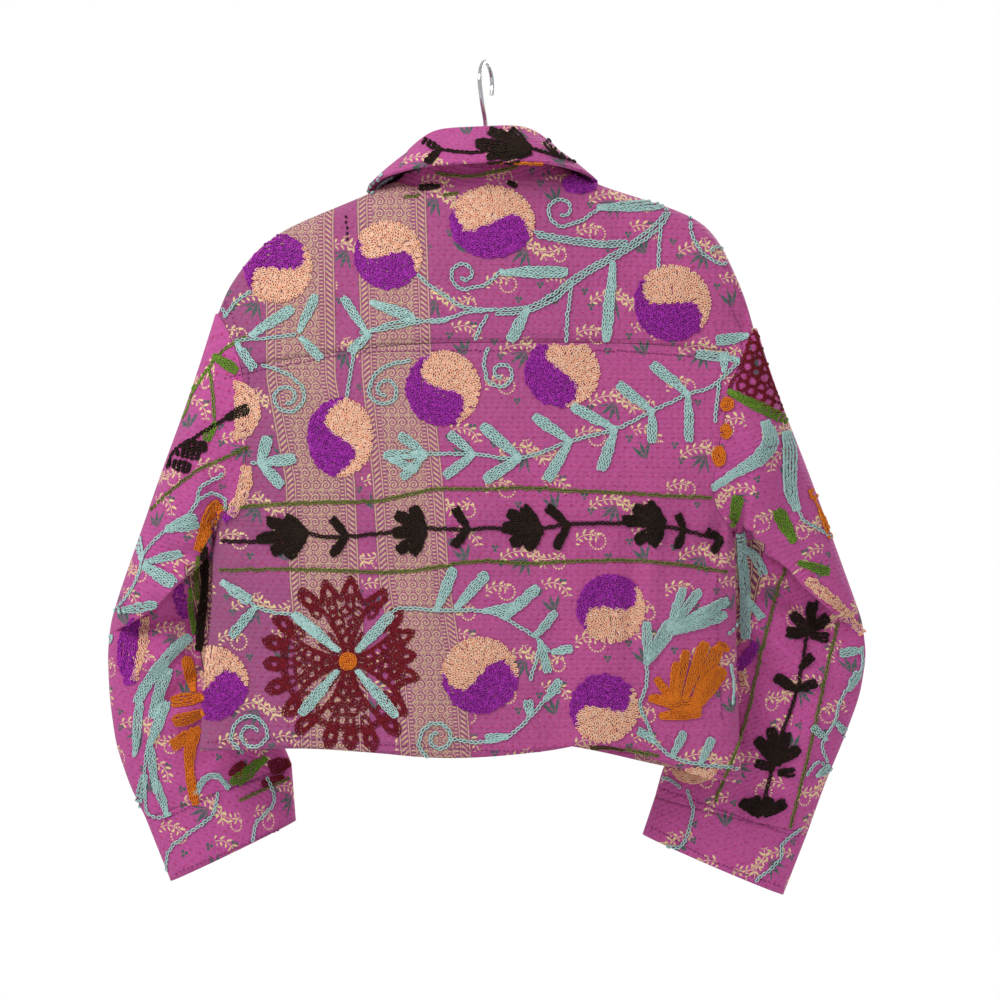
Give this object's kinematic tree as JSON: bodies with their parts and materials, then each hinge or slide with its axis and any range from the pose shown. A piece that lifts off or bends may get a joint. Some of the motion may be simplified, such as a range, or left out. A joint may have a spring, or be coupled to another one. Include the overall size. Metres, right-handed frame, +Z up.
{
  "type": "kantha jacket on a hanger",
  "caption": "Cropped kantha jacket of magenta quilted cotton with suzani style embroidery, buttoned, hanging on a plain wooden hanger.",
  "frame": {"origin": "top of the inside of the hanger's hook, where a rail carries it", "axes": "+Z up, -Y towards the front of the jacket, +X towards the wearer's left arm"},
  "size_m": [0.7385, 0.1638, 0.8034],
  "materials": {
    "quilted_cotton": "matte, hand quilted and embroidered",
    "button": "satin",
    "hanger_wood": "satin",
    "hook_steel": "polished"
  },
  "bodies": {
    "root": {"back_yoke": "quilted_cotton", "back_panel": "quilted_cotton", "front_left": "quilted_cotton", "front_right": "quilted_cotton", "button_band": "quilted_cotton", "collar_stand": "quilted_cotton", "collar_fall": "quilted_cotton", "sleeve_left": "quilted_cotton", "sleeve_right": "quilted_cotton", "cuff_left": "quilted_cotton", "cuff_right": "quilted_cotton", "button_1": "button", "button_2": "button", "button_3": "button", "button_4": "button", "button_5": "button", "hanger_bar": "hanger_wood", "hanger_hook": "hook_steel"}
  },
  "joints": []
}
